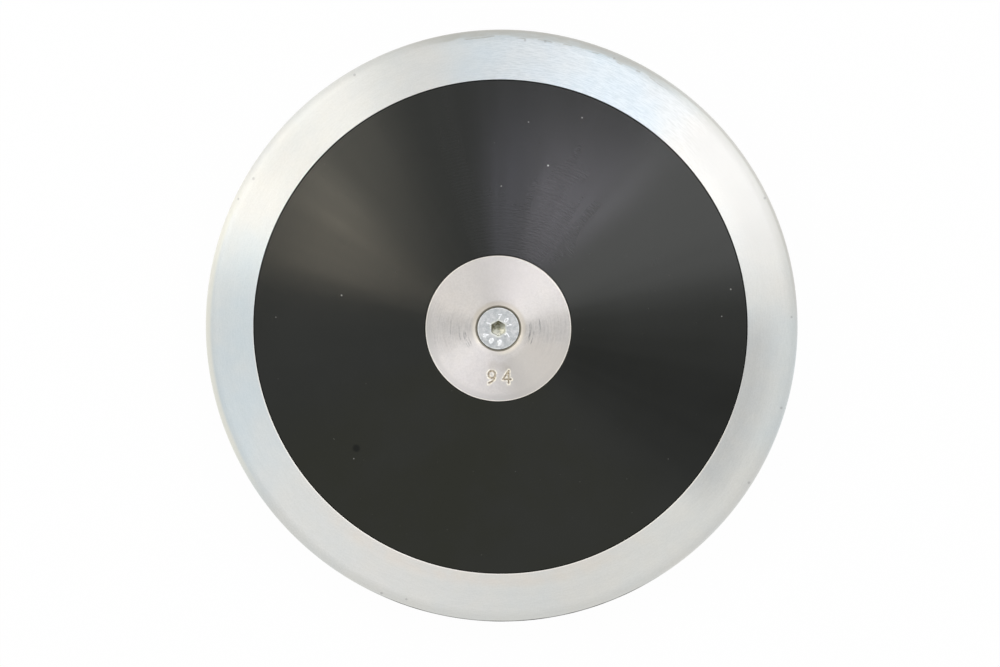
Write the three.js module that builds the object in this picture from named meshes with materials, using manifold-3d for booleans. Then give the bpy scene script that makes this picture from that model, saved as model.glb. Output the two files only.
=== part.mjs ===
// A two kilogram throwing discus: a plated steel rim between two moulded side plates, with a metal
// plate let into the middle of each face. Two screws clamp it all, through a threaded hub that also
// carries the ballast. Millimetres, +Z up. The origin is the middle of the discus, and it spins
// about Z. A radius is measured from Z and a height from the middle plane.
import * as THREE from "three";
import { mergeVertices } from "three/addons/utils/BufferGeometryUtils.js";
import Module from "manifold-3d";

const wasm = await Module();
wasm.setup();

// Whole discus
const outerDiameter = 220;
const thickness = 45; // across the two flat centres
const flatDiameter = 53; // each flat centre, which is its centre plate
const edgeRadius = 6.25; // the rounded edge that the finger tips hold
const faceSegments = 60; // round the rim and the side plates
const edgeSteps = 12; // over the rounded edge, from one face to the other

// Rim
const rimWidth = 19; // from the outer edge in to the seam
const flangeWidth = 4.6; // from the seam in to the bore
const seamChamfer = 0.4;
const flangeChamfer = 0.6;

// Side plates
const skinWall = 3.5; // measured along Z
const floorWall = 3.5; // under the centre plate
const recessWall = 2.5; // round the centre plate
const spigotWall = 2.5; // the ring that centres the plate in the bore of the rim
const bossWall = 3; // the tube round the ballast
const hubTubeWall = 3.6; // the tube round the hub, which presses on the ballast
const ribThickness = 2; // at the free edge
const ribDraft = THREE.MathUtils.degToRad(1);
const ribCount = 12;
const ringRibShares = [0.34, 0.67]; // places of the ring ribs, from the boss out to the spigot
const ringRibHeightShare = 0.55; // of a radial rib's height there
const clampRibCount = 6; // between the hub tube and the boss
const clampRibThickness = 1.8;
const clampRibHeightShare = 0.6; // of the space from the ballast up to the floor

// Centre plates
const centrePlateThickness = 5;
const centrePlateChamfer = 0.35;
const centreSegments = 48;

// Screws, countersunk at ninety degrees
const screwDiameter = 8;
const headDiameter = 15.2;
const headRecess = 0.35; // below the face of the centre plate
const headChamfer = 0.15;
const socketAcrossFlats = 5;
const socketDepth = 3;
const socketConeDepth = 0.8;
const screwTipGap = 4; // between the ends of the two screws
const tipChamfer = 0.9;
const screwSegments = 36;

// Hub
const hubDiameter = 16;
const hubEndGap = 0.3; // so that the screws clamp the side plates and not the hub
const hubChamfer = 0.8;

// Ballast
const ballastDiameter = 50;
const ballastThick = 3;
const ballastThin = 1;
const ballastSegments = 36;

// Clearances
const fitClearance = 0.25; // round a piece that drops into another
const threadClearance = 0.3; // between a screw and the bores that it passes
const middleGap = 0.15; // from a side plate's deepest edge to the middle plane
const cutOverrun = 1; // past the face that a cut opens
const weldDistance = 0.0001;

// Worked out from the sizes above
const outerRadius = outerDiameter / 2;
const faceHeight = thickness / 2;
const flatRadius = flatDiameter / 2;
const edgeCentre = outerRadius - edgeRadius;
const flankReach = edgeCentre - flatRadius;
const flankSlope =
  Math.atan2(faceHeight, flankReach) - Math.asin(edgeRadius / Math.hypot(flankReach, faceHeight));
const seamRadius = outerRadius - rimWidth;
const boreRadius = seamRadius - flangeWidth;
const seatHeight = flankHeight(seamRadius) - skinWall;

const plateRadius = seamRadius - fitClearance;
const recessRadius = flatRadius + fitClearance;
const recessFloor = faceHeight - centrePlateThickness;
const floorUnderside = recessFloor - floorWall;
const spigotRadius = boreRadius - fitClearance;
const spigotInside = spigotRadius - spigotWall;
const pocketRadius = ballastDiameter / 2 + fitClearance;
const bossRadius = pocketRadius + bossWall;
const skinStart = Math.max(bossRadius, recessRadius + recessWall);

const hubRadius = hubDiameter / 2;
const hubHoleRadius = hubRadius + fitClearance;
const hubTubeRadius = hubHoleRadius + hubTubeWall;
const ballastStack = [ballastThick, ballastThin, ballastThin, ballastThick];
const stackHeight = ballastStack.reduce((sum, disc) => sum + disc, 0);

const screwRadius = screwDiameter / 2;
const screwHoleRadius = screwRadius + threadClearance;
const headRadius = headDiameter / 2;
const headTop = faceHeight - headRecess;
const countersinkRadius = headRadius + headRecess + headChamfer + fitClearance;

// The flank is the straight line from the flat centre that meets the rounded edge as a tangent.
function flankHeight(radius) {
  return faceHeight - (radius - flatRadius) * Math.tan(flankSlope);
}

function skinUnderside(radius) {
  return flankHeight(radius) - skinWall;
}

// Points [radius, height], anticlockwise as seen with the axis on the left, swept round Z.
function revolve(profile, segments) {
  const outline = profile.map(([radius, height]) => new THREE.Vector2(radius, height));
  return new THREE.LatheGeometry(outline, segments).rotateX(Math.PI / 2);
}

function revolveLoop(profile, segments) {
  return revolve([...profile, profile[0]], segments);
}

function solidFrom(geometry) {
  const bare = geometry.clone();
  bare.deleteAttribute("normal");
  bare.deleteAttribute("uv");
  const welded = mergeVertices(bare, weldDistance);
  return new wasm.Manifold(
    new wasm.Mesh({
      numProp: 3,
      vertProperties: welded.attributes.position.array,
      triVerts: new Uint32Array(welded.index.array),
    }),
  );
}

// Geometry of a solid, with the triangles of each flat face merged into as few as it needs.
function geometryFrom(solid) {
  const mesh = solid.asOriginal().simplify(weldDistance).getMesh();
  const geometry = new THREE.BufferGeometry();
  geometry.setAttribute("position", new THREE.BufferAttribute(mesh.vertProperties, 3));
  geometry.setIndex(new THREE.BufferAttribute(mesh.triVerts, 1));
  geometry.computeVertexNormals();
  return geometry;
}

// Rim: one profile, the same above and below the middle plane.
function rimGeometry() {
  const edgeSweep = Math.PI - 2 * flankSlope;
  const edge = Array.from({ length: edgeSteps + 1 }, (_, step) => {
    const angle = edgeSweep * (step / edgeSteps - 1 / 2);
    return [edgeCentre + edgeRadius * Math.cos(angle), edgeRadius * Math.sin(angle)];
  });
  const face = [
    [seamRadius + seamChamfer, flankHeight(seamRadius + seamChamfer)],
    [seamRadius, flankHeight(seamRadius) - seamChamfer],
    [seamRadius, seatHeight],
    [boreRadius + flangeChamfer, seatHeight],
    [boreRadius, seatHeight - flangeChamfer],
  ];
  const otherFace = face.map(([radius, height]) => [radius, -height]).reverse();
  return revolveLoop([...edge, ...face, ...otherFace], faceSegments);
}

// Side plate: a thin cone with a recess for the centre plate. Underneath it has a spigot that centres
// it in the rim, a boss round the ballast, a tube round the hub, and ribs between them.
function shellGeometry() {
  const shell = [
    [hubHoleRadius, stackHeight / 2],
    [hubTubeRadius, stackHeight / 2],
    [hubTubeRadius, floorUnderside],
    [pocketRadius, floorUnderside],
    [pocketRadius, middleGap],
    [bossRadius, middleGap],
    [bossRadius, floorUnderside],
    [skinStart, floorUnderside],
    [skinStart, skinUnderside(skinStart)],
    [spigotInside, skinUnderside(spigotInside)],
    [spigotInside, middleGap],
    [spigotRadius, middleGap],
    [spigotRadius, seatHeight],
    [plateRadius, seatHeight],
    [plateRadius, flankHeight(plateRadius) - seamChamfer],
    [plateRadius - seamChamfer, flankHeight(plateRadius - seamChamfer)],
    [recessRadius, flankHeight(recessRadius)],
    [recessRadius, recessFloor],
    [hubHoleRadius, recessFloor],
  ];
  return revolveLoop(shell, faceSegments);
}

// A moulded rib: a unit box bent so that its foot follows a free edge and its head a sloping wall,
// and drafted so that it is thickest at the wall.
function ribGeometry({ start, end, foot, head, thickness: edgeThickness }) {
  const geometry = new THREE.BoxGeometry(1, 1, 1);
  const corners = geometry.attributes.position;
  for (let i = 0; i < corners.count; i++) {
    const radius = corners.getX(i) < 0 ? start : end;
    const height = corners.getZ(i) < 0 ? foot : head(radius);
    const half = edgeThickness / 2 + (height - foot) * Math.tan(ribDraft);
    corners.setXYZ(i, radius, 2 * half * corners.getY(i), height);
  }
  return geometry;
}

function spacedRound(count, geometry) {
  return Array.from({ length: count }, (_, i) =>
    solidFrom(geometry.clone().rotateZ((2 * Math.PI * i) / count)),
  );
}

// Radial ribs, each in two stretches: from the boss out under the floor, and from the recess wall out
// under the skin.
function radialRibs() {
  const underFloor = ribGeometry({
    start: bossRadius - bossWall / 2,
    end: skinStart,
    foot: middleGap,
    head: () => floorUnderside + floorWall / 2,
    thickness: ribThickness,
  });
  const underSkin = ribGeometry({
    start: skinStart - recessWall / 2,
    end: spigotInside + spigotWall / 2,
    foot: middleGap,
    head: (radius) => skinUnderside(Math.max(radius, skinStart)) + skinWall / 2,
    thickness: ribThickness,
  });
  return [...spacedRound(ribCount, underFloor), ...spacedRound(ribCount, underSkin)];
}

function ringRibs() {
  return ringRibShares.map((share) => {
    const radius = THREE.MathUtils.lerp(bossRadius, spigotInside, share);
    const underside = skinUnderside(radius);
    const foot = underside - (underside - middleGap) * ringRibHeightShare;
    const half = ribThickness / 2;
    const rib = [
      [radius - half, foot],
      [radius + half, foot],
      [radius + half, underside + skinWall / 2],
      [radius - half, underside + skinWall / 2],
    ];
    return solidFrom(revolveLoop(rib, faceSegments));
  });
}

function clampRibs() {
  const rib = ribGeometry({
    start: hubTubeRadius - hubTubeWall / 2,
    end: pocketRadius + bossWall / 2,
    foot: floorUnderside - (floorUnderside - stackHeight / 2) * clampRibHeightShare,
    head: () => floorUnderside + floorWall / 2,
    thickness: clampRibThickness,
  });
  return spacedRound(clampRibCount, rib);
}

function sidePlateGeometry() {
  const ribs = [...radialRibs(), ...ringRibs(), ...clampRibs()];
  return geometryFrom(ribs.reduce((plate, rib) => plate.add(rib), solidFrom(shellGeometry())));
}

// Centre plate. Where it is thin for the head of the screw, the countersink ends in a wider hole.
function centrePlateGeometry() {
  const chamfer = centrePlateChamfer;
  const holeRadius = Math.max(screwHoleRadius, countersinkRadius - centrePlateThickness + chamfer);
  const plate = [
    [holeRadius, recessFloor],
    [flatRadius - chamfer, recessFloor],
    [flatRadius, recessFloor + chamfer],
    [flatRadius, faceHeight - chamfer],
    [flatRadius - chamfer, faceHeight],
    [countersinkRadius, faceHeight],
    [holeRadius, faceHeight - (countersinkRadius - holeRadius)],
  ];
  return revolveLoop(plate, centreSegments);
}

function screwGeometry() {
  const tip = screwTipGap / 2;
  const neck = headTop - headChamfer - (headRadius - screwRadius);
  const profile = [
    [0, tip],
    [screwRadius - tipChamfer, tip],
    [screwRadius, tip + tipChamfer],
    [screwRadius, neck],
    [headRadius, headTop - headChamfer],
    [headRadius - headChamfer, headTop],
    [0, headTop],
  ];
  return geometryFrom(solidFrom(revolve(profile, screwSegments)).subtract(socket()));
}

// Hexagon with a corner towards +Y, ending in the cone that the drill left.
function socket() {
  const cornerRadius = socketAcrossFlats / 2 / Math.cos(Math.PI / 6);
  const floor = headTop - socketDepth;
  const length = socketDepth + cutOverrun;
  const hexagon = new THREE.CylinderGeometry(cornerRadius, cornerRadius, length, 6);
  hexagon.rotateX(Math.PI / 2).translate(0, 0, floor + length / 2);
  const drillCone = [
    [0, floor - socketConeDepth],
    [socketAcrossFlats / 2, floor],
    [0, floor + socketConeDepth],
  ];
  return solidFrom(hexagon).add(solidFrom(revolve(drillCone, screwSegments)));
}

function hubGeometry() {
  const end = recessFloor - hubEndGap;
  const half = [
    [screwHoleRadius, end - hubChamfer],
    [screwHoleRadius + hubChamfer, end],
    [hubRadius - hubChamfer, end],
    [hubRadius, end - hubChamfer],
  ].reverse();
  const otherHalf = half.map(([radius, height]) => [radius, -height]).reverse();
  return revolveLoop([...half, ...otherHalf], screwSegments);
}

// One disc with its lower face at the given height.
function ballastGeometry(disc, bottom) {
  const radius = ballastDiameter / 2;
  const top = bottom + disc;
  const profile = [
    [hubHoleRadius, bottom],
    [radius, bottom],
    [radius, top],
    [hubHoleRadius, top],
  ];
  return revolveLoop(profile, ballastSegments);
}

const zincPlate = { color: 0xdadcd9, metalness: 1, roughness: 0.38 };
const blackPlastic = { color: 0x1d1d1c, metalness: 0, roughness: 0.42 };
const bareAluminium = { color: 0xd9d2cb, metalness: 1, roughness: 0.34 };
const platedScrew = { color: 0xb4b7bd, metalness: 1, roughness: 0.36 };
const bareSteel = { color: 0x8f9092, metalness: 1, roughness: 0.5 };

function piece(name, geometry, finish) {
  const mesh = new THREE.Mesh(geometry, new THREE.MeshStandardMaterial(finish));
  mesh.name = name;
  return mesh;
}

// One face with its side plate, centre plate and screw. The lower face is the same, turned over.
function faceAssembly(side) {
  const face = new THREE.Group();
  face.add(
    piece(`${side}_side_plate`, sidePlateGeometry(), blackPlastic),
    piece(`${side}_centre_plate`, centrePlateGeometry(), bareAluminium),
    piece(`${side}_centre_screw`, screwGeometry(), platedScrew),
  );
  return face;
}

function ballastPieces() {
  let bottom = -stackHeight / 2;
  return ballastStack.map((disc, i) => {
    const geometry = ballastGeometry(disc, bottom);
    bottom += disc;
    return piece(`ballast_disc_${i + 1}`, geometry, bareSteel);
  });
}

const upperFace = faceAssembly("upper");
const lowerFace = faceAssembly("lower");
lowerFace.rotation.x = Math.PI;

const discus = new THREE.Group();
discus.add(piece("rim", rimGeometry(), zincPlate), upperFace, lowerFace);
discus.add(piece("threaded_hub", hubGeometry(), bareSteel), ...ballastPieces());

export default discus;
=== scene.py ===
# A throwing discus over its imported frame. Every piece that shows is a fresh turned surface, with the
# fillets, stamp, threads and wear that the frame's solids leave out.
from math import acos, asin, atan2, cos, hypot, pi, sin, tan

import bmesh
import bpy
import numpy as np
from mathutils import Matrix, Vector


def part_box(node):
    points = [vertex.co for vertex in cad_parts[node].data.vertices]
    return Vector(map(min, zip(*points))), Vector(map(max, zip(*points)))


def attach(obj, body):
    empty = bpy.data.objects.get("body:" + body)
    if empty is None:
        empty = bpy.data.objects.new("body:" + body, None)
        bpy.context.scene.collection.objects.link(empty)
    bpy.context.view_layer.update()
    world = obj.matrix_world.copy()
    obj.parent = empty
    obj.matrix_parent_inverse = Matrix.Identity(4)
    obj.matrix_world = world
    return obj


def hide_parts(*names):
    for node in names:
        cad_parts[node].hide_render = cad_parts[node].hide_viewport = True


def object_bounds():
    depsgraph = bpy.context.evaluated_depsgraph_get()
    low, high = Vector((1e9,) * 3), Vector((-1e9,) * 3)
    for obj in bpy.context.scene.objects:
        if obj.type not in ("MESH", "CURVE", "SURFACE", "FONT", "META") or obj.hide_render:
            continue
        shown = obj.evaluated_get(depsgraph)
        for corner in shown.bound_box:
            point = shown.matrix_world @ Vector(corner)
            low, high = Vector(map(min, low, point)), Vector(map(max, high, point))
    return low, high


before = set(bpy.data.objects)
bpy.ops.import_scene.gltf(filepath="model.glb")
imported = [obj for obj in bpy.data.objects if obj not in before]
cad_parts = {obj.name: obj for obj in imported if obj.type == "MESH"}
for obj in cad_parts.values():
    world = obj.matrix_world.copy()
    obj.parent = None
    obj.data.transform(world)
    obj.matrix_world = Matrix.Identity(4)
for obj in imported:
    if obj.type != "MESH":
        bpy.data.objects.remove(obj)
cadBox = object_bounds()
scene = bpy.context.scene
mm = 0.001
degree = pi / 180
print("frame loaded:", len(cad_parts), "nodes")

# Sizes that the pieces share, read off the frame where it has them.
clearance = 0.25 * mm  # between the frame's solids
plateLow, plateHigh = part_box("upper_centre_plate")
faceHeight, recessFloor, flatRadius = plateHigh.z, plateLow.z, plateHigh.x
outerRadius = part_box("rim")[1].x
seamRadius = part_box("upper_side_plate")[1].x + clearance
screwLow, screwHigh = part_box("upper_centre_screw")
screwTip, screwTop, headRadius = screwLow.z, screwHigh.z, screwHigh.x
edgeRadius = 6.25 * mm
skinWall = 3.5 * mm
visibleSeam = 0.25 * mm  # the line of shadow round a piece
hair = 0.001 * mm  # heights that differ by less are the same

# The flank runs straight and meets the rounded edge as a tangent. Both flanks would meet at flankTip.
flankReach = outerRadius - edgeRadius - flatRadius
edgeDistance = hypot(flankReach, faceHeight)
flankSlope = atan2(faceHeight, flankReach) - asin(edgeRadius / edgeDistance)
flankTip = flatRadius + faceHeight / tan(flankSlope)


def flankHeight(radius):
    return faceHeight - (radius - flatRadius) * tan(flankSlope)


def underSkin(radius):
    return flankHeight(radius) - skinWall


def newObject(name, data):
    thing = bpy.data.objects.new(name, data)
    scene.collection.objects.link(thing)
    return thing


# Camera: almost straight above the discus, leaning a little right and up.
cameraSetup = dict(
    distance=1.0,
    leanRight=2.1 * degree,
    leanUp=1.8 * degree,
    aim=(-0.2 * mm, -2.57 * mm, 0.0),
    widthsPerMetre=2.691,  # picture widths, on the middle plane
    sensorWidth=36,
)


def makeCamera():
    setup = cameraSetup
    lean = Vector((tan(setup["leanRight"]), tan(setup["leanUp"]), 1)).normalized()
    place = lean * setup["distance"]
    forward = (Vector(setup["aim"]) - place).normalized()
    right = forward.cross(Vector((0, 1, 0))).normalized()
    turn = Matrix((right, right.cross(forward), -forward)).transposed().to_4x4()
    data = bpy.data.cameras.new("camera")
    data.sensor_width = setup["sensorWidth"]
    data.lens = setup["sensorWidth"] * setup["distance"] * setup["widthsPerMetre"]
    scene.camera = newObject("camera", data)
    scene.camera.matrix_world = Matrix.Translation(place) @ turn


makeCamera()
print("camera placed")

meshing = dict(
    arcStep=0.4 * mm,
    leastArcSteps=5,
    guardStep=0.08 * mm,
    mergeReach=0.002 * mm,
    sharpAngle=34 * degree,
)


# Arc that touches both sides of a corner: its centre lies on the corner's bisector.
def filletArc(before, corner, after, fillet):
    back = (before - corner) / np.linalg.norm(before - corner)
    onward = (after - corner) / np.linalg.norm(after - corner)
    half = acos(np.clip(back @ onward, -1, 1)) / 2
    reach, sweep = fillet / tan(half), pi - 2 * half
    centre = corner + (back + onward) / np.linalg.norm(back + onward) * fillet / sin(half)
    steps = max(meshing["leastArcSteps"], int(fillet * sweep / meshing["arcStep"]))
    turn = np.linspace(0, sweep, steps + 1)[:, None]
    first, last = corner + back * reach - centre, corner + onward * reach - centre
    return centre + (first * np.sin(sweep - turn) + last * np.sin(turn)) / sin(sweep)


# Even steps between two ends, and a guard close to each that keeps a fillet's shading off the flat.
def sidePoints(start, end, step):
    guard = meshing["guardStep"]
    length = np.linalg.norm(end - start)
    cuts = int(length / step)
    along = (np.arange(cuts) + 1) * length / (cuts + 1)
    if length > 4 * guard:
        along = np.concatenate([[guard], along, [length - guard]])
    return start + (end - start) * along[:, None] / length


# Radii and heights of a profile from corners (radius, height, fillet), anticlockwise round the solid.
# A fourth number is the step along the side that follows.
def roundedProfile(corners, step, closed=True):
    spots = np.array([corner[:2] for corner in corners], float)
    count = len(corners)
    runs = []
    for i, corner in enumerate(corners):
        if corner[2] == 0:
            runs.append(spots[i : i + 1])
        else:
            runs.append(filletArc(spots[i - 1], spots[i], spots[(i + 1) % count], corner[2]))
    points = []
    for i, corner in enumerate(corners):
        points.append(runs[i])
        if closed or i < count - 1:
            ownStep = corner[3] if len(corner) > 3 else step
            points.append(sidePoints(runs[i][-1], runs[(i + 1) % count][0], ownStep))
    return np.hsplit(np.concatenate(points), 2)


def evenAngles(count):
    return (np.arange(count) * 2 * pi / count)[None, :]


# Radius, angle and height, as arrays of one shape, made into points.
def roundPoints(radius, angle, height):
    radius, angle, height = np.broadcast_arrays(radius, angle, height)
    return np.stack([radius * np.cos(angle), radius * np.sin(angle), height], axis=-1)


# Mesh of points[row, column], with rows along the profile and columns round the axis. The rows close
# on themselves or on two poles.
def gridMesh(points, poles=None, merge=False):
    rows, columns = points.shape[:2]
    i = np.arange(rows if poles is None else rows - 1)[:, None]
    j = np.arange(columns)[None, :]
    above, beside = (i + 1) % rows, (j + 1) % columns
    corners = [i * columns + j, i * columns + beside, above * columns + beside, above * columns + j]
    faces = np.stack(corners, axis=-1).reshape(-1, 4).tolist()
    vertices = points.reshape(-1, 3)
    if poles is not None:
        first, column = len(vertices), np.arange(columns)
        after, top = (column + 1) % columns, (rows - 1) * columns
        faces += np.stack([np.full(columns, first), after, column], axis=-1).tolist()
        faces += np.stack([top + column, top + after, np.full(columns, first + 1)], axis=-1).tolist()
        vertices = np.concatenate([vertices, poles])
    mesh = bpy.data.meshes.new("skin")
    mesh.from_pydata(vertices.tolist(), [], faces)
    if merge:
        loose = bmesh.new()
        loose.from_mesh(mesh)
        bmesh.ops.remove_doubles(loose, verts=loose.verts, dist=meshing["mergeReach"])
        loose.to_mesh(mesh)
        loose.free()
    mesh.shade_smooth()
    mesh.set_sharp_from_angle(angle=meshing["sharpAngle"])
    return mesh


# One number for each vertex, for a finish to read by its name.
def keepValues(mesh, name, values):
    mesh.attributes.new(name, "FLOAT", "POINT").data.foreach_set("value", values.ravel())


# 0 up to low, 1 from high on, and an even S between.
def easing(value, low, high):
    share = np.clip((value - low) / (high - low), 0, 1)
    return share * share * (3 - 2 * share)


# 1 where value is 0, falling off evenly on both sides.
def bell(value, width):
    return np.exp(-((value / width) ** 2))


# A piece in place of a node of the frame.
def addPiece(mesh, node, finish):
    mesh.name = node + "_skin"
    mesh.materials.append(finishes[finish])
    piece = newObject(mesh.name, mesh)
    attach(piece, "root")
    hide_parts(node)


# The same piece on both faces, or a plain one below. The lower one is turned over.
def addPair(upper, name, finish, plain=None):
    lower = plain or upper.copy()
    lower.transform(Matrix.Rotation(pi, 4, "X"))
    addPiece(upper, "upper_" + name, finish)
    addPiece(lower, "lower_" + name, finish)


# Arithmetic on a Value: a Math node.
def maths(operation, turned=False):
    def result(self, other):
        first, second = (other, self) if turned else (self, other)
        return self.nodes.add("Math", {"operation": operation}, {0: first, 1: second})

    return result


# One number of a node tree.
class Value:
    def __init__(self, nodes, socket):
        self.nodes = nodes
        self.socket = socket

    __add__ = __radd__ = maths("ADD")
    __sub__, __rsub__ = maths("SUBTRACT"), maths("SUBTRACT", turned=True)
    __mul__ = __rmul__ = maths("MULTIPLY")
    __truediv__ = maths("DIVIDE")
    __pow__ = maths("POWER")
    __or__ = maths("MAXIMUM")


# The node tree of a material or world, and the few mixtures that every finish is made of.
class Nodes:
    def __init__(self, owner):
        owner.use_nodes = True
        self.tree = owner.node_tree
        self.tree.nodes.clear()

    # Any node: its type, its settings, and the values or links of its sockets by name or number.
    def add(self, kind, settings, sockets, output=0):
        node = self.tree.nodes.new("ShaderNode" + kind)
        for key, value in settings.items():
            setattr(node, key, value)
        for key, value in sockets.items():
            if isinstance(value, Value):
                self.tree.links.new(value.socket, node.inputs[key])
            else:
                node.inputs[key].default_value = value
        return Value(self, node.outputs[output]) if len(node.outputs) else None

    def mix(self, share, first, second, blend="MIX"):
        settings = {"data_type": "RGBA", "blend_type": blend}
        return self.add("Mix", settings, {0: share, 6: first, 7: second}, output=2)

    # 0 where value is low, 1 where it is high, and an even S between.
    def smooth(self, value, low, high):
        sockets = {0: value, 1: low, 2: high}
        return self.add("MapRange", {"interpolation_type": "SMOOTHSTEP"}, sockets)

    def fade(self, value, low, high):
        return 1 - self.smooth(value, low, high)

    # 1 from low to high, with a soft border outside them.
    def between(self, value, low, high, border):
        return self.smooth(value, low - border, low) * self.fade(value, high, high + border)

    def vector(self, x, y, z):
        return self.add("CombineXYZ", {}, {0: x, 1: y, 2: z})

    # 1 on the camera's own rays and on those that gloss and glass send on.
    def seenRays(self):
        kinds = ("Is Camera Ray", "Is Glossy Ray", "Is Transmission Ray")
        camera, gloss, glass = (self.add("LightPath", {}, {}, kind) for kind in kinds)
        return camera | gloss | glass


# The finish of a turned piece, painted layer by layer. It has the place in metres from the middle of
# the discus, the radius, and the way out as a unit vector.
class Finish(Nodes):
    def __init__(self, name, colour):
        self.material = bpy.data.materials.new(name)
        super().__init__(self.material)
        self.colour = colour
        self.point = self.add("TexCoord", {}, {}, "Object")
        self.x, self.y, self.z = (self.add("SeparateXYZ", {}, {0: self.point}, axis) for axis in "XYZ")
        self.radius = (self.x * self.x + self.y * self.y) ** 0.5
        neverZero = self.radius | 0.01 * mm
        self.outX = self.x / neverZero
        self.outY = self.y / neverZero

    # Noise drawn out round the axis: the more turns, the shorter the marks.
    def marks(self, pitch, turns, detail=2.0):
        spot = self.vector(self.outX * turns, self.outY * turns, self.radius / pitch)
        sockets = {"Vector": spot, "W": self.z / pitch, "Scale": 1.0}
        sockets |= {"Detail": detail, "Roughness": 0.6}
        return self.add("TexNoise", {"noise_dimensions": "4D"}, sockets)

    def cloud(self, size, detail=2.0):
        return self.add("TexNoise", {}, {"Vector": self.point, "Scale": 1 / size, "Detail": detail})

    def patches(self, size, low, high, detail=2.0):
        return self.smooth(self.cloud(size, detail), low, high)

    # Even grooves that a turning tool leaves, from -1 to 1.
    def grooves(self, pitch):
        return self.add("Math", {"operation": "SINE"}, {0: self.radius * (2 * pi / pitch)})

    # 1 within a soft spot round (x, y) on the upper face, in mm.
    def spot(self, x, y, size):
        sockets = {0: self.vector(self.x, self.y, 0.0), 1: (x * mm, y * mm, 0)}
        away = self.add("VectorMath", {"operation": "DISTANCE"}, sockets, 1)
        return self.fade(away, size * mm * 0.4, size * mm) * self.smooth(self.z, 0.0, mm)

    # 1 on the side that faces an angle, up to a soft border at its reach, in degrees.
    def facing(self, angle, reach):
        along = self.outX * cos(angle * degree) + self.outY * sin(angle * degree)
        return self.smooth(along, cos(reach * degree * 1.3), cos(reach * degree * 0.7))

    def kept(self, name):
        return self.add("Attribute", {"attribute_name": name}, {}, "Fac")

    def paint(self, layer, share):
        self.colour = self.mix(share, self.colour, layer)

    # Soft light over it, from one tint where the mask is 0 to another where it is 1.
    def tint(self, mask, share, first, second):
        self.colour = self.mix(share, self.colour, self.mix(mask, first, second), "SOFT_LIGHT")

    def bump(self, height, depth, strength=1.0):
        return self.add("Bump", {}, {"Height": height, "Distance": depth, "Strength": strength})

    def shade(self, **sockets):
        named = {key.replace("_", " "): value for key, value in sockets.items()}
        shader = self.add("BsdfPrincipled", {}, {"Base Color": self.colour} | named)
        self.add("OutputMaterial", {}, {"Surface": shader})
        return self.material


# A mask that runs from least to most in place of 0 to 1.
def ranged(mask, least, most=1.0):
    return least + mask * (most - least)


# A level that noises move up and down, each by its own change.
def uneven(levels, *noises):
    result = levels[0]
    for noise, change in zip(noises, levels[1:]):
        result = result + (noise - 0.5) * change
    return result


def grey(level):
    return (level, level, level, 1)


# In the finishes below a side is an angle and its reach in degrees. Marks are a pitch, turns and
# detail. Patches are a size, the noise where they start and are full, and detail. A tint is a share
# and two colours, and a roughness is a level and the changes by the noises in it.
turnedGloss = {"Metallic": 1.0, "Anisotropic": 0.9, "Anisotropic_Rotation": 0.25}

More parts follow.
